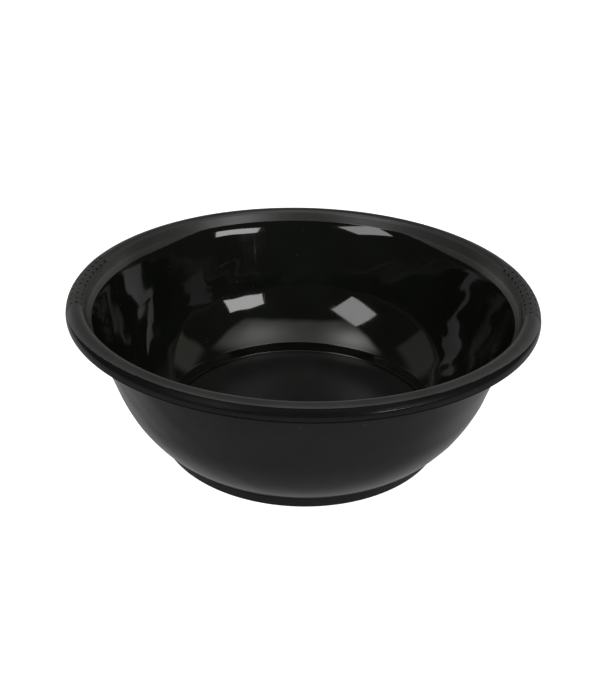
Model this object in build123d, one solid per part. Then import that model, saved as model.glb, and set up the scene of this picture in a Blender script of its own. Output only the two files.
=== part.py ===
from build123d import *
from math import cos, radians, sin, tan
import os

# Round salon basin: one thin moulded shell with a hollow rolled rim and a sunken floor,
# two soft dotted grips let into the rim at left and right, and a non-slip ring on its foot.
# Millimetres and degrees. Origin: centre of the resting face. +Z up, grips on -X and +X.
# Every section is drawn as (radius, height) in the XZ plane and turned about Z.

# Driving dimensions
rim_radius = 170.0
bowl_height = 117.5
wall_thickness = 2.2

# Rim: a crowned hollow bead, its inner face leaning out from a crease above the wall
crease = (155.4, 108.2)
rim_lean = 18.0
rim_inner_radius = 5.0
rim_outer_radius = 7.7
skirt_thickness = 2.0
skirt_bottom = 108.1
skirt_edge_radius = 0.9
hollow_outer_radius = 5.0

# Wall: a deep lower curve, a straight middle and a flare of constant radius below the crease
wall_tilt = 16.95
flare_tilt = 31.5
flare_radius = 38.0
curve_top = 54.5

# Sunken floor and the step down to it
floor_top = 2.9
floor_bottom = 1.0
floor_radius = 106.0
ledge = (108.2, 10.6)
floor_corner_radius = 1.2
wall_foot = (112.2, 9.0)
step_radius = 110.0
floor_edge_radius = 107.7

# Non-slip foot ring: an L section that wraps the step and runs in under the floor
ring_top = 8.4
ring_top_radius = 111.4
ring_bottom_radius = 109.2
ring_inner_radius = 101.0
ring_edge_radius = 0.5

# Grips
grip_angle = 30.2
grip_depth = 0.2
grip_thickness = 1.6
grip_start = (157.3, 114.05)
grip_key = 2.5
grip_bottom = 110.0
bed_thickness = 1.8
bed_extra_angle = 1.5
above_rim = 1.0

# Dimples in the grips
dimple_columns = 11
dimple_rows = 4
dimple_column_angle = 2.74
dimple_row_pitch = 4.4
dimple_ball_radius = 1.1
dimple_sink = 0.8
first_row = -4.85


def along(tilt):
    """Unit direction up a wall that leans out by tilt from the vertical."""
    return (sin(radians(tilt)), cos(radians(tilt)))


def shifted(point, direction, distance):
    """The point moved by distance along direction."""
    return (point[0] + direction[0] * distance, point[1] + direction[1] * distance)


def outward(tilt):
    """Unit normal on the outside of a wall that leans out by tilt."""
    return (cos(radians(tilt)), -sin(radians(tilt)))


def flare_point(tilt, thickness):
    """Point of the flare at this tilt, on the inside (thickness 0) or beyond it."""
    centre = shifted(crease, outward(flare_tilt), flare_radius)
    return shifted(centre, outward(tilt), thickness - flare_radius)


def rim_path(depth):
    """The rim's crown, from the inner face over the top to the skirt, at a depth below its skin."""
    top = bowl_height - depth
    lean = tan(radians(rim_lean))
    inner_skin = crease[0] + depth / cos(radians(rim_lean))
    inner_low = (inner_skin, skirt_bottom)
    inner_top = (inner_skin + (top - crease[1]) * lean, top)
    outer_top = (rim_radius - depth, top)
    outer_low = (rim_radius - depth, skirt_bottom)
    radii = [rim_inner_radius - depth, rim_outer_radius - depth]
    return FilletPolyline(inner_low, inner_top, outer_top, outer_low, radius=radii)


def section(lines):
    """A closed section in the XZ plane, ready to be turned about Z."""
    edges = [edge for line in lines for edge in line.edges()]
    return Plane.XZ * make_face(edges)


def turned(face, angle=360.0, middle=0.0):
    """The section turned about Z through an angle that is centred on middle."""
    return revolve(Rot(0, 0, middle - angle / 2) * face, Axis.Z, angle)


def rim_outline(flare_end_outside):
    """Crown, skirt and the hollow under them, from the crease round to the outside of the flare."""
    lean = tan(radians(rim_lean))
    inner_top = (crease[0] + (bowl_height - crease[1]) * lean, bowl_height)
    hollow_top = bowl_height - wall_thickness
    hollow_inner = crease[0] + (hollow_top - crease[1]) * lean
    hollow_inner += wall_thickness / cos(radians(rim_lean))
    skirt_inner = rim_radius - skirt_thickness
    corners = [
        crease,
        inner_top,
        (rim_radius, bowl_height),
        (rim_radius, skirt_bottom),
        (skirt_inner, skirt_bottom),
        (skirt_inner, hollow_top),
        (hollow_inner, hollow_top),
        flare_end_outside,
    ]
    radii = [
        rim_inner_radius,
        rim_outer_radius,
        skirt_edge_radius,
        skirt_edge_radius,
        hollow_outer_radius,
        rim_inner_radius - wall_thickness,
    ]
    return FilletPolyline(*corners, radius=radii)


def shell_section():
    """The whole moulding's section, from the middle of the floor out and back."""
    up_wall = along(wall_tilt)
    down_wall = (-up_wall[0], -up_wall[1])
    flare_low_in = flare_point(wall_tilt, 0)
    flare_low_out = flare_point(wall_tilt, wall_thickness)
    flare_high_out = flare_point(flare_tilt, wall_thickness)
    reach = (flare_low_in[1] - curve_top) / up_wall[1]
    curve_in = shifted(flare_low_in, up_wall, -reach)
    curve_out = shifted(curve_in, outward(wall_tilt), wall_thickness)
    inside = [
        FilletPolyline((0, floor_top), (floor_radius, floor_top), ledge, radius=floor_corner_radius),
        TangentArc(curve_in, ledge, tangent=down_wall),
        Line(curve_in, flare_low_in),
        TangentArc(flare_low_in, crease, tangent=up_wall),
    ]
    outside = [
        TangentArc(flare_low_out, flare_high_out, tangent=up_wall),
        Line(flare_low_out, curve_out),
        TangentArc(curve_out, wall_foot, tangent=down_wall),
        Polyline(wall_foot, (step_radius, wall_foot[1]), (floor_edge_radius, floor_bottom), (0, floor_bottom)),
        Line((0, floor_bottom), (0, floor_top)),
    ]
    return section(inside + [rim_outline(flare_high_out)] + outside)


def grip_zone():
    """The part of the rim's section that a grip may take up, square to the skin at its inner edge."""
    inward = outward(rim_lean)
    inner_top = shifted(grip_start, inward, -above_rim)
    inner_low = shifted(grip_start, inward, grip_key)
    top = bowl_height + above_rim
    outside = rim_radius + above_rim
    corners = [
        inner_top,
        inner_low,
        (inner_low[0], grip_bottom),
        (outside, grip_bottom),
        (outside, top),
        (inner_top[0], top),
    ]
    return section([Polyline(*corners, close=True)])


def rim_layer(outer_depth, inner_depth):
    """A layer of the crown between two depths below its skin."""
    outer = rim_path(outer_depth)
    inner = rim_path(inner_depth)
    ends = [Line(outer @ 0, inner @ 0), Line(outer @ 1, inner @ 1)]
    return section([outer, inner] + ends)


def crown_point(distance, depth):
    """Radius, height and tilt of the normal, at a distance outward from the end of the inner curve."""
    inner_height = bowl_height - rim_inner_radius
    flat_start = crease[0] + (inner_height - crease[1]) * tan(radians(rim_lean))
    flat_start += rim_inner_radius / cos(radians(rim_lean))
    flat_end = rim_radius - rim_outer_radius
    inner_skin = rim_inner_radius - depth
    outer_skin = rim_outer_radius - depth
    if distance < 0:
        tilt = distance / inner_skin
        return (flat_start + inner_skin * sin(tilt), inner_height + inner_skin * cos(tilt), tilt)
    past_flat = distance - (flat_end - flat_start)
    if past_flat < 0:
        return (flat_start + distance, bowl_height - depth, 0.0)
    tilt = past_flat / outer_skin
    outer_height = bowl_height - rim_outer_radius
    return (flat_end + outer_skin * sin(tilt), outer_height + outer_skin * cos(tilt), tilt)


def dimple(row, column, middle):
    """One ball-shaped dimple, placed by its row across the crown and its column along it."""
    radius, height, tilt = crown_point(first_row + row * dimple_row_pitch, grip_depth)
    lift = dimple_ball_radius - dimple_sink
    turn = middle + (column - (dimple_columns - 1) / 2) * dimple_column_angle
    place = Pos(radius + lift * sin(tilt), 0, height + lift * cos(tilt))
    return Rot(0, 0, turn) * place * Sphere(dimple_ball_radius)


def grip_pad(middle):
    """A soft pad that fills the lower part of its recess, with rows of dimples."""
    layer = rim_layer(grip_depth, grip_depth + grip_thickness) & grip_zone()
    pad = turned(layer, grip_angle, middle)
    dimples = [
        dimple(row, column, middle)
        for row in range(dimple_rows)
        for column in range(dimple_columns)
    ]
    return pad - dimples


def bowl_shell():
    """The moulding, thickened below each grip and cut back to let the grip in."""
    shell = turned(shell_section())
    pad_bed = grip_depth + grip_thickness
    bed = rim_layer(wall_thickness / 2, pad_bed + bed_thickness)
    recess = rim_layer(-above_rim / 2, pad_bed) & grip_zone()
    for middle in (0, 180):
        shell += turned(bed, grip_angle + 2 * bed_extra_angle, middle)
    for middle in (0, 180):
        shell -= turned(recess, grip_angle, middle)
    return shell


def foot_ring():
    """The soft ring: an upright band round the step and a flat lip under the edge of the floor."""
    slope = (step_radius - floor_edge_radius) / (wall_foot[1] - floor_bottom)
    band_inner = floor_edge_radius + (ring_top - floor_bottom) * slope
    corners = [
        (band_inner, ring_top),
        (ring_top_radius, ring_top),
        (ring_bottom_radius, 0),
        (ring_inner_radius, 0),
        (ring_inner_radius, floor_bottom),
    ]
    rounded = FilletPolyline(*corners, radius=ring_edge_radius)
    inside = Polyline(corners[-1], (floor_edge_radius, floor_bottom), corners[0])
    return turned(section([rounded, inside]))


os.makedirs("parts", exist_ok=True)
export_step(bowl_shell(), "parts/bowl_shell.step")
export_step(grip_pad(180), "parts/grip_pad_left.step")
export_step(grip_pad(0), "parts/grip_pad_right.step")
export_step(foot_ring(), "parts/foot_ring.step")
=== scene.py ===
import bpy
from math import atan2, ceil, cos, degrees, hypot, pi, radians, sin, sqrt, tan
from mathutils import Matrix, Vector


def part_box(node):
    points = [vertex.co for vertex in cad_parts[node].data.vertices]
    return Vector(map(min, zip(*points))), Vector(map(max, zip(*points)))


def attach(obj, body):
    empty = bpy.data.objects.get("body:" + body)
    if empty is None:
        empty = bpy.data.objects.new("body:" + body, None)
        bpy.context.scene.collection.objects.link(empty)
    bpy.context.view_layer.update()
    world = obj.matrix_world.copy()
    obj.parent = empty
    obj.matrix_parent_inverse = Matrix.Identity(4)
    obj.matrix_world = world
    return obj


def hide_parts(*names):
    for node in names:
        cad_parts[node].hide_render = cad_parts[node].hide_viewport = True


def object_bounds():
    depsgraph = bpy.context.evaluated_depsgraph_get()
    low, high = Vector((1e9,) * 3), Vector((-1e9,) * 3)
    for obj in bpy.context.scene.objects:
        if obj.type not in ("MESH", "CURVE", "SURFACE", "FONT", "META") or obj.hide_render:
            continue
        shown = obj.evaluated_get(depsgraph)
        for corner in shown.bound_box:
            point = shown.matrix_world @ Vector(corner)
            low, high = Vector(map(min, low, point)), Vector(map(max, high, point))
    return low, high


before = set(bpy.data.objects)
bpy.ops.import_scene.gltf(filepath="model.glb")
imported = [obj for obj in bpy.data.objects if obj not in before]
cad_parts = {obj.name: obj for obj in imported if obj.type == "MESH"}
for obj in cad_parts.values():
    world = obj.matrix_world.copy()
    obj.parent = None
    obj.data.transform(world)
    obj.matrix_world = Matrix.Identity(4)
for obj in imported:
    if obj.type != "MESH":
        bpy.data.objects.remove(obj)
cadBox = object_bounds()
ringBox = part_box("foot_ring")
print("frame loaded:", ", ".join(sorted(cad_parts)))

mm = 0.001  # sections are drawn in millimetres, meshes are made in metres
rimRadius = cadBox[1].x / mm
bowlHeight = cadBox[1].z / mm
ringTop = ringBox[1].z / mm

# the moulded shell in section, all points are (radius, height)
shell = dict(
    crease=(155.4, 108.2),       # where the wall meets the rim's bead
    rimLean=18.0,                # how far the bead's inner face leans out
    innerRound=5.0,
    outerRound=7.7,
    hollowRound=5.0,
    wall=2.2,
    skirt=2.0,
    skirtBottom=108.1,
    skirtJoin=2.0,               # the crown's rows stop this far above it
    skirtEdge=0.9,
    wallTilt=16.95,
    flareTilt=31.5,
    flareRound=38.0,
    curveTop=54.5,
    ledge=(108.2, 10.6),
    ledgeRound=0.8,
    floorRadius=106.0,
    floorTop=2.9,
    floorBottom=1.0,
    floorCorner=1.2,
    floorFlat=4.0,               # the flat of the floor ends this far before its corner
    wallFoot=(112.2, 9.0),
    footRounds=(0.54, 0.4, 0.8),
    stepRadius=110.0,
    floorEdge=107.7,
)

# how finely things are meshed: degrees round the bowl, millimetres along a section
mesh = dict(
    plainStep=0.75,
    fineStep=0.14,               # beside the ends of the grips
    fineMargin=0.8,
    lastGap=0.05,                # the last column stays this far short of a full turn
    crownStep=0.3,
    wallStep=1.6,
    straightStep=3.2,
    floorStep=6.0,
    ledgeStep=0.8,
    flareStep=0.8,
    hollowStep=1.0,
    footStep=1.5,
    ringStep=1.2,
    cornerStep=0.25,             # round a corner, at most this share of its radius
    ringColumns=360,
    padAlong=0.22,
    padAcross=0.2,
    padUnder=4,                  # the underside of a grip has one row for this many above
    weld=0.02,                   # points closer than this are one
)


def steps(length, spacing):
    return max(1, ceil(length / spacing))


def straight(a, b, spacing):
    count = steps(hypot(b[0] - a[0], b[1] - a[1]), spacing)
    return [(a[0] + (b[0] - a[0]) * i / count, a[1] + (b[1] - a[1]) * i / count) for i in range(count + 1)]


def arc(centre, radius, start, end, spacing):
    count = steps(abs(end - start) * radius, spacing)
    angles = [start + (end - start) * i / count for i in range(count + 1)]
    return [(centre[0] + radius * cos(a), centre[1] + radius * sin(a)) for a in angles]


# the arc from a to b that leaves a along heading
def tangentArc(a, b, heading, spacing):
    side = (-heading[1], heading[0])
    chord = (b[0] - a[0], b[1] - a[1])
    across = chord[0] * side[0] + chord[1] * side[1]
    radius = (chord[0] ** 2 + chord[1] ** 2) / (2 * across)
    centre = (a[0] + side[0] * radius, a[1] + side[1] * radius)
    start = atan2(a[1] - centre[1], a[0] - centre[0])
    end = atan2(b[1] - centre[1], b[0] - centre[0])
    while radius > 0 and end < start:
        end += 2 * pi
    while radius < 0 and end > start:
        end -= 2 * pi
    return arc(centre, abs(radius), start, end, spacing)


# straight runs with rounded corners, like a fillet on a drawing
def rounded(corners, radii, spacing):
    points = []
    last = corners[0]
    for i, radius in enumerate(radii, 1):
        here = Vector(corners[i])
        back = (Vector(corners[i - 1]) - here).normalized()
        ahead = (Vector(corners[i + 1]) - here).normalized()
        half = back.angle(ahead) / 2
        centre = here + (back + ahead).normalized() * (radius / sin(half))
        begin = here + back * (radius / tan(half))
        finish = here + ahead * (radius / tan(half))
        start = atan2(begin.y - centre.y, begin.x - centre.x)
        end = atan2(finish.y - centre.y, finish.x - centre.x)
        if end - start > pi:
            end -= 2 * pi
        if start - end > pi:
            end += 2 * pi
        points += straight(last, begin, spacing)
        points += arc(centre, radius, start, end, min(spacing, radius * mesh["cornerStep"]))
        last = (finish.x, finish.y)
    return points + straight(last, corners[-1], spacing)


def joined(*runs):
    points = []
    for run in runs:
        for p in run:
            if not points or hypot(p[0] - points[-1][0], p[1] - points[-1][1]) > mesh["weld"]:
                points.append((p[0], p[1]))
    return points


# the rim's crown is measured outward from where its flat top starts
lean = radians(shell["rimLean"])
crownInner = bowlHeight - shell["innerRound"]
crownOuter = bowlHeight - shell["outerRound"]
flatStart = shell["crease"][0] + (crownInner - shell["crease"][1]) * tan(lean)
flatStart += shell["innerRound"] / cos(lean)
flatEnd = rimRadius - shell["outerRound"]
flatLength = flatEnd - flatStart
shoulderLength = shell["innerRound"] * (pi / 2 - lean)
cornerLength = shell["outerRound"] * pi / 2
faceLength = (flatStart - shell["innerRound"] * cos(lean) - shell["crease"][0]) / sin(lean)
crownStart = -shoulderLength - faceLength
crownEnd = flatLength + cornerLength + crownOuter - shell["skirtBottom"]


# point on the crown at a distance along it and a depth below its skin
def crown(distance, depth):
    tilt = max(-pi / 2 + lean, min(0.0, distance / shell["innerRound"]))
    if distance < 0:
        radius = shell["innerRound"] - depth
        below = max(0.0, -shoulderLength - distance)
        return (
            flatStart + radius * sin(tilt) - below * sin(lean),
            crownInner + radius * cos(tilt) - below * cos(lean),
        )
    past = distance - flatLength
    if past < 0:
        return (flatStart + distance, bowlHeight - depth)
    tilt = min(pi / 2, past / shell["outerRound"])
    radius = shell["outerRound"] - depth
    below = max(0.0, past - cornerLength)
    return (flatEnd + radius * sin(tilt), crownOuter + radius * cos(tilt) - below)


def ease(t):
    t = max(0.0, min(1.0, t))
    return t * t * (3 - 2 * t)


# the two soft grips let into the rim
grip = dict(
    halfAngle=15.1,              # each side of its middle
    cornerSweep=4.3,             # how much further it runs round the outside of the bead
    sweepFrom=0.6,               # and the share of the crown's flat where that begins
    depth=0.2,
    thickness=1.6,
    innerRadius=157.3,
    bottom=110.0,
    gap=0.1,
    endGap=(0.7, 2.2),           # at the near end, from the inner edge to the outer one
    farGap=0.02,
    sinkOver=30.0,               # the top is at its full depth this far from the far end
    edgeRound=0.4,
    edgeDrop=0.8,                # how much of that round the edge drops
    underside=0.96,              # share of its thickness, so that it clears the pocket
    nearLip=0.45,                # only the near end of each pocket has a rounded lip
    farLip=0.12,
    shown=0.35,                  # faces deeper than this wear the pocket's or the dimples' painted shade
    rows=4,
    columns=11,
    columnAngle=2.74,
    firstRow=-4.85,              # millimetres before the flat of the crown
    rowPitch=4.4,
    dimpleRadius=1.25,
    dimpleDepth=1.35,
)

innerReach = flatStart - grip["innerRadius"]
gripStart = -shell["innerRound"] * atan2(innerReach, sqrt(shell["innerRound"] ** 2 - innerReach ** 2))
gripEnd = flatLength + cornerLength + crownOuter - grip["bottom"]


# half the grip's angle at a distance along the crown: it sweeps on round the bead's outer corner
def gripReach(distance):
    before = flatLength * grip["sweepFrom"]
    t = (distance - before) / (cornerLength + flatLength * (1 - grip["sweepFrom"]))
    t = max(0.0, min(1.0, t))
    return grip["halfAngle"] + grip["cornerSweep"] * (1 - sqrt(1 - t * t))


# angle from the middle of the nearer grip, in degrees
def fromGrip(angle):
    return abs((degrees(angle) + 90) % 180 - 90)


# millimetres inside the grip's outline, negative outside
def insideGrip(distance, angle):
    sides = (
        radians(gripReach(distance) - fromGrip(angle)) * rimRadius,
        distance - gripStart,
        gripEnd - distance,
    )
    return min(sides)


# a third of the lip's width lies outside the outline
def recessDepth(distance, angle):
    lip = grip["nearLip"] if sin(angle) < 0 else grip["farLip"]
    return (grip["depth"] + grip["thickness"]) * ease((insideGrip(distance, angle) + lip / 3) / lip)


# a mesh whose faces carry the number of their finish
def newMesh(name, verts, faces, marks, flatFaces=0):
    data = bpy.data.meshes.new(name)
    data.from_pydata(verts, [], faces)
    data.polygons.foreach_set("material_index", marks)
    data.polygons.foreach_set("use_smooth", [True] * (len(faces) - flatFaces) + [False] * flatFaces)
    data.update()
    return data


# the corners, faces and finish numbers of an object, as lists to add to
def meshLists(thing):
    verts = [tuple(v.co) for v in thing.data.vertices]
    faces = [tuple(p.vertices) for p in thing.data.polygons]
    marks = [p.material_index for p in thing.data.polygons]
    return verts, faces, marks


# points are rows of a section, columns go round: rows[i][j] is a Vector in millimetres
def gridObject(name, rows, closeRound, closeRows=False, zones=None):
    tall, wide = len(rows), len(rows[0])
    verts = [p * mm for row in rows for p in row]
    faces = []
    marks = []
    for i in range(tall if closeRows else tall - 1):
        for j in range(wide if closeRound else wide - 1):
            a, b = i * wide + j, i * wide + (j + 1) % wide
            c, d = ((i + 1) % tall) * wide + (j + 1) % wide, ((i + 1) % tall) * wide + j
            faces.append((a, b, c, d))
            marks.append(zones(i, j) if zones else 0)
    thing = bpy.data.objects.new(name, newMesh(name, verts, faces, marks))
    bpy.context.scene.collection.objects.link(thing)
    return thing


# close the hole at the middle of a disc with a fan
def capMiddle(thing, ringIndex, wide, height, zone, flip):
    verts, faces, marks = meshLists(thing)
    verts.append((0.0, 0.0, height * mm))
    middle = len(verts) - 1
    for j in range(wide):
        a, b = ringIndex * wide + j, ringIndex * wide + (j + 1) % wide
        faces.append((b, a, middle) if flip else (a, b, middle))
        marks.append(zone)
    thing.data = newMesh(thing.name, verts, faces, marks)


def roundColumns():
    fineFrom = grip["halfAngle"] - mesh["fineMargin"]
    fineTo = grip["halfAngle"] + grip["cornerSweep"] + mesh["fineMargin"]
    angle, angles = 0.0, []
    while angle < 360 - mesh["lastGap"]:
        angles.append(radians(angle))
        near = abs((angle + 90) % 180 - 90)
        fine = fineFrom - mesh["plainStep"] < near < fineTo
        angle += mesh["fineStep"] if fine else mesh["plainStep"]
    return angles


# faint waves that the wall keeps from the mould, millimetres
warp = dict(
    height=0.40,
    lobes=(7, 12, 19),
    waves=(57.0, 38.0, 26.0),
    twist=0.7,                   # how fast a wave climbs on its way round
    front=0.3,                   # share that is left between the grips
    low=12.0,                    # the waves begin at this height
    lowFade=15.0,
    high=106.0,                  # and stop at this one
    highFade=12.0,
)


def wallWave(angle, height):
    wave = 0.0
    for lobe, length in zip(warp["lobes"], warp["waves"]):
        wave += sin(lobe * angle + length) * cos(2 * pi * height / length + lobe * warp["twist"] * angle)
    # strongest beside the grips, where the moulding is stiffest
    share = warp["front"] + (1 - warp["front"]) * cos(angle) ** 2
    return warp["height"] * share * wave / len(warp["lobes"])


def waveFade(height):
    return ease((height - warp["low"]) / warp["lowFade"]) * ease((warp["high"] - height) / warp["highFade"])


def upTilt(tilt):
    return (sin(radians(tilt)), cos(radians(tilt)))


def flarePoint(tilt, thickness):
    crease, high, here = shell["crease"], radians(shell["flareTilt"]), radians(tilt)
    centre = (crease[0] + shell["flareRound"] * cos(high), crease[1] - shell["flareRound"] * sin(high))
    reach = shell["flareRound"] - thickness
    return (centre[0] - reach * cos(here), centre[1] + reach * sin(here))


# finishes of the moulding: the number of a face's material is its place here
finishes = ("floor", "inside", "rim", "outside", "pocket", "edge", "shoulder")


# the section in runs, from the middle of the floor up over the rim and back under the foot
def shellRuns():
    crease, foot = shell["crease"], shell["wallFoot"]
    up = upTilt(shell["wallTilt"])
    down = (-up[0], -up[1])
    lowIn, lowOut = flarePoint(shell["wallTilt"], 0), flarePoint(shell["wallTilt"], shell["wall"])
    highOut = flarePoint(shell["flareTilt"], shell["wall"])
    reach = (lowIn[1] - shell["curveTop"]) / up[1]
    curveIn = (lowIn[0] - up[0] * reach, lowIn[1] - up[1] * reach)
    curveOut = (curveIn[0] + shell["wall"] * up[1], curveIn[1] - shell["wall"] * up[0])
    # the ledge's rounded corner takes the place of the curve's first two points
    lowerIn = tangentArc(curveIn, shell["ledge"], down, mesh["wallStep"])[::-1][2:]
    floorStart = (mesh["floorStep"], shell["floorTop"])
    floorEnd = (shell["floorRadius"] - shell["floorFlat"], shell["floorTop"])
    floorRun = straight(floorStart, floorEnd, mesh["floorStep"])
    stepCorners = [floorRun[-1], (shell["floorRadius"], shell["floorTop"]), shell["ledge"], lowerIn[0]]
    stepRun = rounded(stepCorners, (shell["floorCorner"], shell["ledgeRound"]), mesh["ledgeStep"])
    insideRun = joined(
        lowerIn,
        straight(curveIn, lowIn, mesh["straightStep"]),
        tangentArc(lowIn, crease, up, mesh["crownStep"]),
    )
    hollowTop = bowlHeight - shell["wall"]
    hollowInner = crease[0] + (hollowTop - crease[1]) * tan(lean) + shell["wall"] / cos(lean)
    skirtInner = rimRadius - shell["skirt"]
    skirtCorners = [
        (rimRadius, shell["skirtBottom"] + shell["skirtJoin"]),
        (rimRadius, shell["skirtBottom"]),
        (skirtInner, shell["skirtBottom"]),
        (skirtInner, hollowTop),
        (hollowInner, hollowTop),
        highOut,
    ]
    innerHollow = shell["innerRound"] - shell["wall"]
    skirtRounds = (shell["skirtEdge"], shell["skirtEdge"], shell["hollowRound"], innerHollow)
    skirtRun = rounded(skirtCorners, skirtRounds, mesh["hollowStep"])
    outsideRun = joined(
        tangentArc(lowOut, highOut, up, mesh["flareStep"])[::-1],
        straight(lowOut, curveOut, mesh["straightStep"]),
        tangentArc(curveOut, foot, down, mesh["wallStep"]),
    )
    footCorners = [
        outsideRun[-2],
        foot,
        (shell["stepRadius"], foot[1]),
        (shell["floorEdge"], shell["floorBottom"]),
        (mesh["floorStep"], shell["floorBottom"]),
    ]
    footRun = rounded(footCorners, shell["footRounds"], mesh["footStep"])
    return floorRun, stepRun, insideRun, skirtRun, outsideRun[:-1], footRun


# where the satin of the rim runs, over the inside and over the crown
satin = dict(
    below=5.0,                   # at the two sides it starts this far below the crease, partly a painted highlight where the lamps light the inner face
    sideFrom=0.50,               # how far sideways that begins, 1 is beside the grips
    sideBlend=0.32,
    end=4.5,                     # at the front it stops here, measured outward over the crown
    wrap=6.5,                    # how much further it runs at the sides and the back
    backFrom=-0.95,              # how far back that begins, -1 is the front
    backBlend=1.05,
    shoulderEnd=8.6,             # where the dull shoulder beside it stops
)


# lowest height of the satin on the inside: it reaches down over the flare at the two sides, the satin being
# real and its lower reach there a painted highlight of the lamp-lit inner face
def satinStart(angle):
    share = ease((abs(cos(angle)) - satin["sideFrom"]) / satin["sideBlend"])
    return shell["crease"][1] - satin["below"] * share


# where the satin stops on the crown: early at the front, wrapped further over elsewhere
def satinStop(angle):
    return satin["end"] + satin["wrap"] * ease((sin(angle) - satin["backFrom"]) / satin["backBlend"])


def makeShell():
    angles = roundColumns()
    floorRun, stepRun, insideRun, skirtRun, outsideRun, footRun = shellRuns()
    crownLength = crownEnd - shell["skirtJoin"] - crownStart
    crownCount = steps(crownLength, mesh["crownStep"])
    crownPlaces = [crownStart + crownLength * i / crownCount for i in range(1, crownCount + 1)]
    rows = []
    profile = []                 # the section's own points, without waves or pockets
    rowFinish = []
    crownAt = {}                 # distance along the crown of each of its rows

    def addRun(points, finish):
        waved = finish in ("inside", "outside")
        for radius, height in points:
            here = Vector((radius, 0, height))
            if rows and (here - profile[-1]).length < mesh["weld"]:
                continue
            fade = waveFade(height)
            row = []
            for a in angles:
                r = radius + (wallWave(a, height) * fade if waved else 0.0)
                row.append(Vector((r * cos(a), r * sin(a), height)))
            rows.append(row)
            profile.append(here)
            rowFinish.append(finish)

    addRun(floorRun, "floor")
    addRun(stepRun, "inside")
    addRun(insideRun, "inside")
    rowFinish[-1] = "rim"
    for place in crownPlaces:
        crownAt[len(rows)] = place
        row = []
        for a in angles:
            radius, height = crown(place, recessDepth(place, a))
            row.append(Vector((radius * cos(a), radius * sin(a), height)))
        rows.append(row)
        radius, height = crown(place, 0)
        profile.append(Vector((radius, 0, height)))
        rowFinish.append("rim")
    # the skirt and the hollow under the rim get the edge's painted shade
    addRun(skirtRun, "edge")
    addRun(outsideRun, "outside")
    addRun(footRun, "outside")

    def finishOf(i, j):
        place = crownAt.get(i)
        if place is None:
            reached = rowFinish[i] == "inside" and profile[i].z > satinStart(angles[j])
            return "rim" if reached else rowFinish[i]
        # faces deep in a pocket get its painted shade
        if recessDepth(place, angles[j]) > grip["shown"]:
            return "pocket"
        if place < satinStop(angles[j]):
            return "rim"
        return "shoulder" if place < satin["shoulderEnd"] else "outside"

    def zoneOf(i, j):
        return finishes.index(finishOf(i, j))

    thing = gridObject("bowl_moulding", rows, True, zones=zoneOf)
    capMiddle(thing, 0, len(angles), shell["floorTop"], finishes.index("floor"), True)
    capMiddle(thing, len(rows) - 1, len(angles), shell["floorBottom"], finishes.index("outside"), False)
    return thing


def dimpleDepth(distance, offset):
    row = round((distance - grip["firstRow"]) / grip["rowPitch"])
    column = round(offset / grip["columnAngle"])
    if not 0 <= row < grip["rows"] or abs(column) > (grip["columns"] - 1) / 2:
        return 0.0
    across = distance - grip["firstRow"] - row * grip["rowPitch"]
    along = radians(offset - column * grip["columnAngle"]) * rimRadius
    far = hypot(across, along) / grip["dimpleRadius"]
    return grip["dimpleDepth"] * (1 - far ** 4) ** 0.5 if far < 1 else 0.0


def makeGrip(name, middle):
    span = gripEnd - gripStart
    across = steps(span, mesh["padAcross"])
    along = steps(2 * radians(grip["halfAngle"]) * rimRadius, mesh["padAlong"])
    first, width = gripStart + grip["gap"], span - 2 * grip["gap"]
    places = [first + width * i / across for i in range(across + 1)]
    underPlaces = places[::mesh["padUnder"]]
    if across % mesh["padUnder"]:
        underPlaces.append(places[-1])
    underDepth = grip["depth"] + grip["thickness"] * grip["underside"]
    nearSign = -1 if middle == 0 else 1

    # where column j of a row lies, and the row's near and far ends, in degrees from the pad's middle
    def offsetAt(place, j):
        innerGap, outerGap = grip["endGap"]
        nearGap = innerGap + (outerGap - innerGap) * ease((place - gripStart) / span)
        near = gripReach(place) - degrees(nearGap / rimRadius)
        far = gripReach(place) - degrees(grip["farGap"] / rimRadius)
        t = j / along
        return nearSign * (near - (near + far) * t), near, far

    def topDepth(place, offset, near, far):
        nearSide = radians(near - nearSign * offset) * rimRadius
        farSide = radians(far + nearSign * offset) * rimRadius
        edge = min(nearSide, place - places[0], places[-1] - place)
        rolled = max(0.0, 1 - edge / grip["edgeRound"])
        depth = grip["depth"] * ease(farSide / grip["sinkOver"])
        depth += grip["edgeRound"] * (1 - sqrt(1 - rolled * rolled)) * grip["edgeDrop"]
        return depth + dimpleDepth(place, offset)

    def padRow(place, top):
        row = []
        for j in range(along + 1):
            offset, near, far = offsetAt(place, j)
            depth = topDepth(place, offset, near, far) if top else underDepth
            radius, height = crown(place, depth)
            a = radians(middle + offset)
            row.append(Vector((radius * cos(a), radius * sin(a), height)))
        return row

    # 1 in the dimples, which get painted shade, 0 elsewhere
    def zoneOf(i, j):
        if i >= across:
            return 0
        place = (places[i] + places[i + 1]) / 2
        return 1 if dimpleDepth(place, offsetAt(place, j + 0.5)[0]) > grip["shown"] else 0

    tops = [padRow(place, True) for place in places]
    bottoms = [padRow(place, False) for place in underPlaces]
    thing = gridObject(name, tops + bottoms[::-1], False, closeRows=True, zones=zoneOf)
    closeEnds(thing, len(tops), len(bottoms), along + 1)
    return thing


# stitch the two short ends of a pad, where its top and bottom rows stop
def closeEnds(thing, count, low, wide):
    verts, faces, marks = meshLists(thing)
    for side in (0, wide - 1):
        upper = [i * wide + side for i in range(count)]
        lower = [(count + low - 1 - i) * wide + side for i in range(low)]
        loop = upper + lower[::-1]
        faces.append(tuple(loop) if side else tuple(loop[::-1]))
        marks.append(0)
    thing.data = newMesh(thing.name, verts, faces, marks, flatFaces=2)


# the soft ring round the foot
ring = dict(
    topRadius=111.4,
    bottomRadius=109.2,
    innerRadius=101.0,
    edge=0.5,
    clearStep=0.2,               # how far it stays off the moulding's step
    clearFloor=0.05,             # and off the underside of the floor
    backDrop=0.1,                # its back stops this far below its top
)


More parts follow.
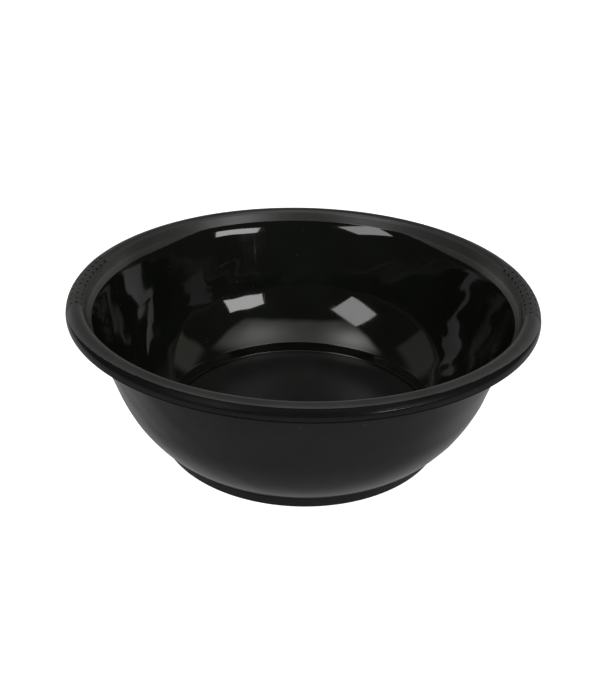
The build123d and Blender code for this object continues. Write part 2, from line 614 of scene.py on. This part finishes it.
def makeRing():
    slope = (shell["stepRadius"] - shell["floorEdge"]) / (shell["wallFoot"][1] - shell["floorBottom"])
    back = shell["floorEdge"] + (ringTop - shell["floorBottom"]) * slope + ring["clearStep"]
    under = shell["floorBottom"] - ring["clearFloor"]
    corners = [
        (back, ringTop),
        (ring["topRadius"], ringTop),
        (ring["bottomRadius"], 0),
        (ring["innerRadius"], 0),
        (ring["innerRadius"], under),
    ]
    outline = rounded(corners, [ring["edge"]] * 3, mesh["ringStep"])
    outline = joined(outline, [(shell["floorEdge"], under), (back, ringTop - ring["backDrop"])])
    angles = [2 * pi * i / mesh["ringColumns"] for i in range(mesh["ringColumns"])]
    rows = [[Vector((r * cos(a), r * sin(a), z)) for a in angles] for r, z in outline]
    return gridObject("foot_ring_tread", rows, True, closeRows=True)


def nodeMaterial(name):
    material = bpy.data.materials.new(name)
    material.use_nodes = True
    tree = material.node_tree
    tree.nodes.clear()
    shader = tree.nodes.new("ShaderNodeBsdfPrincipled")
    output = tree.nodes.new("ShaderNodeOutputMaterial")
    tree.links.new(shader.outputs["BSDF"], output.inputs["Surface"])
    return material, tree, shader


def addNode(tree, kind, inputs=(), **settings):
    node = tree.nodes.new(kind)
    for key, value in settings.items():
        setattr(node, key, value)
    for key, value in dict(inputs).items():
        if isinstance(value, bpy.types.NodeSocket):
            tree.links.new(value, node.inputs[key])
        else:
            node.inputs[key].default_value = value
    return node


def maths(tree, operation, a, b=0.0, c=0.0):
    return addNode(tree, "ShaderNodeMath", {0: a, 1: b, 2: c}, operation=operation).outputs[0]


# eases from 0 to 1 while the value runs from start to end
def ramp(tree, value, start, end):
    inputs = {"Value": value, "From Min": start, "From Max": end}
    return addNode(tree, "ShaderNodeMapRange", inputs, interpolation_type="SMOOTHSTEP").outputs[0]


# length of a position's share along the axes that are 1
def lengthAlong(tree, place, axes):
    share = addNode(tree, "ShaderNodeVectorMath", {0: place, 1: axes}, operation="MULTIPLY").outputs[0]
    return addNode(tree, "ShaderNodeVectorMath", {0: share}, operation="LENGTH").outputs["Value"]


# soft cloudy noise in object space, scale in lumps per metre, remapped to a range
def cloud(tree, place, scale, low, high, detail=3.0, share=(0.35, 0.65)):
    noise = addNode(tree, "ShaderNodeTexNoise", {
        "Vector": place,
        "Scale": scale,
        "Detail": detail,
        "Roughness": 0.55,
    })
    remap = addNode(tree, "ShaderNodeMapRange", {
        "Value": noise.outputs["Fac"],
        "From Min": share[0],
        "From Max": share[1],
        "To Min": low,
        "To Max": high,
    })
    return remap.outputs["Result"]


relief = 0.0001  # metres, how high the grain and the scratches stand


def addBump(tree, height, strength, under=None):
    bump = addNode(tree, "ShaderNodeBump", {"Height": height, "Strength": strength, "Distance": relief})
    if under:
        tree.links.new(under, bump.inputs["Normal"])
    return bump.outputs["Normal"]


# a colour made lighter and darker by a tint
def shaded(tree, colour, tint):
    inputs = {"Factor": 1.0, "A": (*colour, 1)}
    mix = addNode(tree, "ShaderNodeMix", inputs, data_type="RGBA", blend_type="MULTIPLY")
    tree.links.new(tint, mix.inputs["B"])
    return mix.outputs["Result"]


# black polypropylene, one recipe with a setting for each finish of the moulding
# scratch is how far scratches roughen it, along is how the noise is stretched to draw them:
# how fast it changes round the axis, upward and outward
plastics = dict(
    floor=dict(
        colour=(0.0170, 0.0184, 0.0168), rough=(0.19, 0.26), grain=0.05, gloss=0.5,
        scratch=0.12, along=(7, 0, 1400)),
    inside=dict(
        colour=(0.0065, 0.0076, 0.0060), rough=(0.035, 0.080), grain=0.0, gloss=0.5,
        scratch=0.08, along=(330, 9, 9)),
    rim=dict(
        colour=(0.041, 0.043, 0.0405), rough=(0.31, 0.38), grain=0.12, gloss=0.5,
        scratch=0.10, along=(9, 900, 1300), sheenPainted=True),
    outside=dict(
        colour=(0.0050, 0.0055, 0.0052), rough=(0.11, 0.17), grain=0.02, gloss=0.5,
        scratch=0.10, along=(300, 12, 12)),
    # painted shade: the pocket under each grip is near black and dull, standing in for the shade in the gap
    # at the grip's ends
    pocket=dict(
        colour=(0.0030, 0.0030, 0.0028), rough=(0.55, 0.65), grain=0.10, gloss=0.15,
        scratch=0.0, along=(1, 1, 1)),
    shoulder=dict(
        colour=(0.0050, 0.0055, 0.0052), rough=(0.30, 0.40), grain=0.05, gloss=0.05,
        scratch=0.05, along=(9, 900, 1300)),
    # painted shade: the skirt's lower edge and the hollow under the rim are darker and duller than the
    # outside, standing in for the thin shadow line under the skirt
    edge=dict(
        colour=(0.0030, 0.0032, 0.0030), rough=(0.35, 0.45), grain=0.05, gloss=0.06,
        scratch=0.0, along=(1, 1, 1)),
)

# what every finish of the moulding shares
wear = dict(
    ior=1.49,
    tintScale=22,
    tint=(0.85, 1.15),
    roughScale=35,
    grainScale=2600,
    smudgeScale=13,
    smudges=(0.45, 0.62),        # the part of the noise that makes a smudge
    lines=(0.60, 0.70),          # and the part that makes a scratch
    lineDepth=0.25,
    speckScale=420,
    speckSize=0.17,
    speckFrom=0.985,             # only the few cells above this hold a speck
    dust=(0.05, 0.05, 0.045, 1),
)


# fine lines where the smudges are, 0 to 1
def scratchLines(tree, place, look, smudge):
    axes = addNode(tree, "ShaderNodeSeparateXYZ", {"Vector": place}).outputs
    turn = maths(tree, "ARCTAN2", axes["Y"], axes["X"])
    out = lengthAlong(tree, place, (1, 1, 0))
    polar = addNode(tree, "ShaderNodeCombineXYZ", {"X": turn, "Y": axes["Z"], "Z": out}).outputs[0]
    stretch = {0: polar, 1: look["along"]}
    drawn = addNode(tree, "ShaderNodeVectorMath", stretch, operation="MULTIPLY").outputs[0]
    lines = cloud(tree, drawn, 1.0, 0, 1, detail=2.0, share=wear["lines"])
    return maths(tree, "MULTIPLY", lines, smudge)


# a sprinkle of settled dust, 0 to 1
def dustSpecks(tree, place):
    cells = addNode(tree, "ShaderNodeTexVoronoi", {"Vector": place, "Scale": wear["speckScale"]})
    near = maths(tree, "LESS_THAN", cells.outputs["Distance"], wear["speckSize"])
    pick = addNode(tree, "ShaderNodeSeparateColor", {"Color": cells.outputs["Color"]}).outputs[0]
    rare = maths(tree, "GREATER_THAN", pick, wear["speckFrom"])
    return maths(tree, "MULTIPLY", near, rare)


# painted sheen: the satin's colour is made paler on the inner edge beside each grip, where the lamps light
# it
paintedSheen = dict(
    radius=(0.1545, 0.1590),     # metres from the axis, full and gone
    side=(0.134, 0.153),         # metres along X, gone and full
    gain=1.3,                    # how much paler, 0 is not at all
)


def paintedSheenTint(tree, place):
    inner = ramp(tree, lengthAlong(tree, place, (1, 1, 0)), paintedSheen["radius"][1], paintedSheen["radius"][0])
    beside = ramp(tree, lengthAlong(tree, place, (1, 0, 0)), *paintedSheen["side"])
    both = maths(tree, "MULTIPLY", inner, beside)
    return maths(tree, "MULTIPLY_ADD", both, paintedSheen["gain"], 1.0)


def plastic(name, look):
    material, tree, shader = nodeMaterial(name)
    place = addNode(tree, "ShaderNodeTexCoord").outputs["Object"]
    shader.inputs["IOR"].default_value = wear["ior"]
    shader.inputs["Specular IOR Level"].default_value = look["gloss"]
    tint = cloud(tree, place, wear["tintScale"], *wear["tint"])
    # painted sheen: the rim's satin is made paler on its inner edge beside each grip
    if look.get("sheenPainted"):
        tint = maths(tree, "MULTIPLY", tint, paintedSheenTint(tree, place))
    dusty = addNode(tree, "ShaderNodeMix", {
        "Factor": dustSpecks(tree, place),
        "A": shaded(tree, look["colour"], tint),
        "B": wear["dust"],
    }, data_type="RGBA")
    tree.links.new(dusty.outputs["Result"], shader.inputs["Base Color"])
    smudge = cloud(tree, place, wear["smudgeScale"], 0, 1, share=wear["smudges"])
    lines = scratchLines(tree, place, look, smudge)
    rough = cloud(tree, place, wear["roughScale"], *look["rough"])
    tree.links.new(maths(tree, "MULTIPLY_ADD", lines, look["scratch"], rough), shader.inputs["Roughness"])
    grain = cloud(tree, place, wear["grainScale"], 0, 1, detail=1.0)
    grained = addBump(tree, grain, look["grain"])
    scratched = addBump(tree, lines, wear["lineDepth"] * look["scratch"], grained)
    tree.links.new(scratched, shader.inputs["Normal"])
    return material


softs = dict(
    grip=dict(colour=(0.047, 0.048, 0.046), rough=(0.50, 0.60), grain=0.25, gloss=0.5),
    # painted shade: the dimples' rubber is near black and dull, standing in for the shade down in each
    # dimple
    pit=dict(colour=(0.0025, 0.0025, 0.0025), rough=(0.70, 0.80), grain=0.10, gloss=0.1),
    foot=dict(colour=(0.0048, 0.0050, 0.0062), rough=(0.42, 0.52), grain=0.15, gloss=0.35),
)

# what every soft finish shares
feel = dict(ior=1.5, tintScale=40, tint=(0.88, 1.12), roughScale=60, grainScale=3200)


def softRubber(name, look):
    material, tree, shader = nodeMaterial(name)
    place = addNode(tree, "ShaderNodeTexCoord").outputs["Object"]
    tint = cloud(tree, place, feel["tintScale"], *feel["tint"])
    tree.links.new(shaded(tree, look["colour"], tint), shader.inputs["Base Color"])
    shader.inputs["IOR"].default_value = feel["ior"]
    shader.inputs["Specular IOR Level"].default_value = look["gloss"]
    tree.links.new(cloud(tree, place, feel["roughScale"], *look["rough"]), shader.inputs["Roughness"])
    grain = cloud(tree, place, feel["grainScale"], 0, 1, detail=1.0)
    tree.links.new(addBump(tree, grain, look["grain"]), shader.inputs["Normal"])
    return material


moulding = makeShell()
for finish in finishes:
    moulding.data.materials.append(plastic("black " + finish, plastics[finish]))
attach(moulding, "root")
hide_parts("bowl_shell")
print("moulding:", len(moulding.data.polygons), "faces")

gripRubber = softRubber("grip rubber", softs["grip"])
dimpleShade = softRubber("painted shade in the dimples", softs["pit"])
for side, middle in (("left", 180.0), ("right", 0.0)):
    pad = makeGrip("dotted_grip_" + side, middle)
    pad.data.materials.append(gripRubber)
    pad.data.materials.append(dimpleShade)
    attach(pad, "root")
    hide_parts("grip_pad_" + side)
    print(side, "grip:", len(pad.data.polygons), "faces")

tread = makeRing()
tread.data.materials.append(softRubber("foot rubber", softs["foot"]))
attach(tread, "root")
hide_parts("foot_ring")
print("foot ring:", len(tread.data.polygons), "faces")

studio = dict(
    floorSize=14.0,
    floorColour=(0.88, 0.88, 0.88),
    floorRough=0.9,
    floorGlow=0.92,
    floorDrop=0.0002,            # a hair under the foot, so that the two never fight
    aim=(0, 0.06, 0.03),         # where the lamps point
    # azimuth is from the camera's side towards +X, degrees; size in metres
    lamps=(
        dict(
            name="softbox_right", azimuth=42, elevation=24, distance=1.25,
            size=(0.54, 0.30), roll=0, power=4.1),
        dict(
            name="softbox_left", azimuth=-38, elevation=33, distance=1.25,
            size=(0.52, 0.42), roll=-28, power=3.4),
    ),
)


def makeFloor():
    half = studio["floorSize"] / 2
    corners = [(-half, -half, 0), (half, -half, 0), (half, half, 0), (-half, half, 0)]
    data = bpy.data.meshes.new("studio_floor")
    data.from_pydata(corners, [], [(0, 1, 2, 3)])
    thing = bpy.data.objects.new("studio_floor", data)
    bpy.context.scene.collection.objects.link(thing)
    material, tree, shader = nodeMaterial("pale paper")
    shader.inputs["Base Color"].default_value = (*studio["floorColour"], 1)
    shader.inputs["Roughness"].default_value = studio["floorRough"]
    shader.inputs["Emission Color"].default_value = (1, 1, 1, 1)
    shader.inputs["Emission Strength"].default_value = studio["floorGlow"]
    data.materials.append(material)
    thing.location.z = -studio["floorDrop"]
    thing.visible_glossy = False


def makeLamp(look):
    data = bpy.data.lights.new(look["name"], "AREA")
    data.shape = "RECTANGLE"
    data.size, data.size_y = look["size"]
    data.energy = look["power"]
    lamp = bpy.data.objects.new(look["name"], data)
    bpy.context.scene.collection.objects.link(lamp)
    a, e = radians(look["azimuth"]), radians(look["elevation"])
    away = Vector((sin(a) * cos(e), -cos(a) * cos(e), sin(e)))
    lamp.location = away * look["distance"] + Vector(studio["aim"])
    roll = Matrix.Rotation(radians(look["roll"]), 4, "Z")
    turn = away.to_track_quat("Z", "Y").to_matrix().to_4x4() @ roll
    lamp.matrix_world = Matrix.Translation(lamp.location) @ turn


# the room round the bowl, by direction
# u and v are how far a ray drifts sideways and away per metre it climbs
# each set of four numbers is a window: outer edge, inner edge, inner edge, outer edge
room = dict(
    paper=(1.0, 1.0, 1.0),       # what is seen past the floor's edge
    below=0.19,
    above=0.030,
    horizon=(-0.03, 0.03, 2, 3),
    leastClimb=0.02,
    sweeps=(
        dict(y=(0.30, 0.70, 2, 3), z=(-0.15, 0.0, 0.22, 0.42), glow=0.38),
        dict(y=(0.05, 0.50, 2, 3), z=(-1.2, -1.1, -0.15, 0.0), glow=0.12),
    ),
    ceiling=dict(
        u=(-0.80, -0.68, 0.92, 1.06), v=(-0.96, -0.74, -0.18, 0.12),
        glow=0.62, tint=(1.0, 1.02, 0.98)),
    lamps=(
        dict(u=0.48, v=-0.42, spread=0.30, glow=1.5, tint=(1.0, 1.0, 0.98)),
        dict(u=-0.52, v=-0.34, spread=0.24, glow=2.9, tint=(1.0, 1.0, 0.98)),
    ),
    wallsFrom=0.3,               # how far sideways a ray has to go to meet a wall
    walls=(
        dict(
            side=1, y=(0.03, 0.11, 0.38, 0.50), z=(0.28, 0.36, 0.61, 0.71),
            glow=0.38, tint=(1.0, 0.96, 0.86)),
        dict(
            side=-1, y=(-0.06, 0.03, 0.38, 0.52), z=(0.22, 0.30, 0.61, 0.71),
            glow=0.27, tint=(1.0, 0.97, 0.86)),
    ),
)


# 0 outside the four edges, 1 inside, easing between each outer and inner one
def window(tree, value, edges):
    rise = ramp(tree, value, edges[0], edges[1])
    fall = ramp(tree, value, edges[3], edges[2])
    return maths(tree, "MULTIPLY", rise, fall)


def tinted(tree, amount, glow, tint=(1, 1, 1)):
    scaled = addNode(tree, "ShaderNodeVectorMath", {0: tuple(glow * t for t in tint)}, operation="SCALE")
    tree.links.new(amount, scaled.inputs["Scale"])
    return scaled.outputs[0]


# where both values are inside their windows
def patch(tree, first, firstEdges, second, secondEdges):
    return maths(tree, "MULTIPLY", window(tree, first, firstEdges), window(tree, second, secondEdges))


def makeWorld():
    world = bpy.data.worlds.new("studio")
    bpy.context.scene.world = world
    world.use_nodes = True
    tree = world.node_tree
    place = addNode(tree, "ShaderNodeTexCoord").outputs["Generated"]
    axes = addNode(tree, "ShaderNodeSeparateXYZ", {"Vector": place}).outputs
    climb = maths(tree, "MAXIMUM", axes["Z"], room["leastClimb"])
    u, v = maths(tree, "DIVIDE", axes["X"], climb), maths(tree, "DIVIDE", axes["Y"], climb)
    upward = window(tree, axes["Z"], room["horizon"])
    downward = maths(tree, "SUBTRACT", 1.0, upward)
    parts = [tinted(tree, upward, room["above"]), tinted(tree, downward, room["below"])]
    for sweep in room["sweeps"]:
        behind = patch(tree, axes["Y"], sweep["y"], axes["Z"], sweep["z"])
        parts.append(tinted(tree, behind, sweep["glow"]))
    overhead = room["ceiling"]
    ceiling = patch(tree, u, overhead["u"], v, overhead["v"])
    ceiling = maths(tree, "MULTIPLY", ceiling, upward)
    parts.append(tinted(tree, ceiling, overhead["glow"], overhead["tint"]))
    for lamp in room["lamps"]:
        near = maths(tree, "POWER", maths(tree, "SUBTRACT", u, lamp["u"]), 2)
        near = maths(tree, "ADD", near, maths(tree, "POWER", maths(tree, "SUBTRACT", v, lamp["v"]), 2))
        fade = maths(tree, "EXPONENT", maths(tree, "DIVIDE", near, -lamp["spread"] ** 2))
        parts.append(tinted(tree, maths(tree, "MULTIPLY", fade, ceiling), lamp["glow"], lamp["tint"]))
    for wall in room["walls"]:
        sideways = maths(tree, "MULTIPLY", axes["X"], wall["side"])
        facing = maths(tree, "GREATER_THAN", sideways, room["wallsFrom"])
        lit = patch(tree, axes["Y"], wall["y"], axes["Z"], wall["z"])
        parts.append(tinted(tree, maths(tree, "MULTIPLY", lit, facing), wall["glow"], wall["tint"]))
    total = parts[0]
    for part in parts[1:]:
        total = addNode(tree, "ShaderNodeVectorMath", {0: total, 1: part}, operation="ADD").outputs[0]
    seen = addNode(tree, "ShaderNodeLightPath").outputs["Is Camera Ray"]
    paperMix = {"Factor": seen, "A": total, "B": (*room["paper"], 1)}
    paper = addNode(tree, "ShaderNodeMix", paperMix, data_type="RGBA")
    tree.links.new(paper.outputs["Result"], tree.nodes["Background"].inputs["Color"])


camera = dict(
    distance=0.697,              # from the middle of the foot, metres
    elevation=33.35,
    lift=5.015,                  # the view is raised this far above the foot
    pan=0.104,
    roll=1.344,
    lens=46.05,
)


def makeCamera():
    data = bpy.data.cameras.new("camera")
    data.lens = camera["lens"]
    data.sensor_width = 36
    thing = bpy.data.objects.new("camera", data)
    bpy.context.scene.collection.objects.link(thing)
    e = radians(camera["elevation"])
    spot = Vector((0, -cos(e), sin(e))) * camera["distance"]
    forward, right = -spot.normalized(), Vector((1, 0, 0))
    up = right.cross(forward)
    pan, lift, roll = radians(camera["pan"]), radians(camera["lift"]), radians(camera["roll"])
    forward, right = forward * cos(pan) + right * sin(pan), right * cos(pan) - forward * sin(pan)
    forward, up = forward * cos(lift) + up * sin(lift), up * cos(lift) - forward * sin(lift)
    right, up = right * cos(roll) + up * sin(roll), up * cos(roll) - right * sin(roll)
    thing.matrix_world = Matrix.Translation(spot) @ Matrix((right, up, -forward)).transposed().to_4x4()
    bpy.context.scene.camera = thing


makeFloor()
for look in studio["lamps"]:
    makeLamp(look)
makeWorld()
makeCamera()
bpy.context.scene.view_settings.view_transform = "Standard"
print("studio ready")
